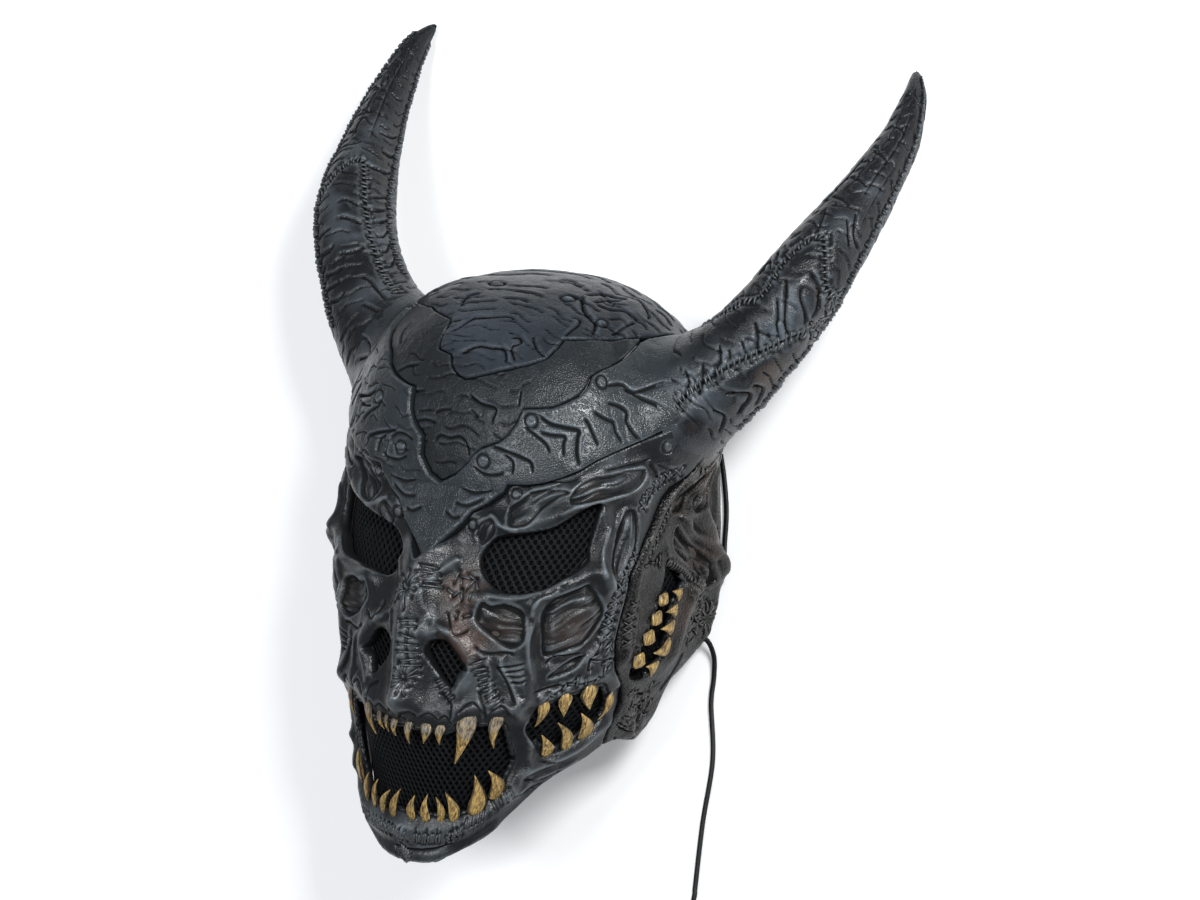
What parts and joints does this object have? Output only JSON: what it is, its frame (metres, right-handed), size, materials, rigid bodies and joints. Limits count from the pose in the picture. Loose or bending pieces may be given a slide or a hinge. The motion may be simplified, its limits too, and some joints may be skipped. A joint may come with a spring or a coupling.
{
  "type": "horned leather mask",
  "caption": "Horned demon mask of carved dark leather lying on its back, with a skull-like face, swept horns, gold teeth over black mesh, and a long lace.",
  "frame": {"origin": "bottom centre of the box round the mask and its horns, on the plane the rear rim rests on; the free lace isn't counted", "axes": "+X to the mask's own left, +Y up the head from the chin to the horn tips, +Z out of the face"},
  "size_m": [0.36, 0.5144, 0.1602],
  "materials": {
    "face_leather": "carved and stitched, charcoal grey, satin",
    "side_leather": "hatched and stitched, grey-brown, satin",
    "brow_leather": "engraved, blue-grey sheen",
    "crown_leather": "engraved, charcoal, satin",
    "horn_leather": "engraved, charcoal with a grey sheen",
    "tooth_leather": "rubbed with antique gold",
    "spacer_fabric": "black open mesh, matt",
    "lace_leather": "dark brown, satin"
  },
  "bodies": {
    "root": {"face": "face_leather", "brow_plate": "brow_leather", "keystone_plate": "crown_leather", "crown_plate": "crown_leather", "side_panel_left": "side_leather", "horn_left": "horn_leather", "eye_mesh_left": "spacer_fabric", "temple_mesh_left": "spacer_fabric", "teeth_cheek_upper_left": "tooth_leather", "teeth_cheek_lower_left": "tooth_leather", "teeth_temple_front_left": "tooth_leather", "teeth_temple_rear_left": "tooth_leather", "side_panel_right": "side_leather", "horn_right": "horn_leather", "eye_mesh_right": "spacer_fabric", "temple_mesh_right": "spacer_fabric", "teeth_cheek_upper_right": "tooth_leather", "teeth_cheek_lower_right": "tooth_leather", "teeth_temple_front_right": "tooth_leather", "teeth_temple_rear_right": "tooth_leather", "teeth_upper": "tooth_leather", "teeth_lower": "tooth_leather", "nose_mesh": "spacer_fabric", "mouth_mesh": "spacer_fabric", "lace": "lace_leather", "lace_loop": "lace_leather", "lace_coil": "lace_leather"}
  },
  "joints": []
}
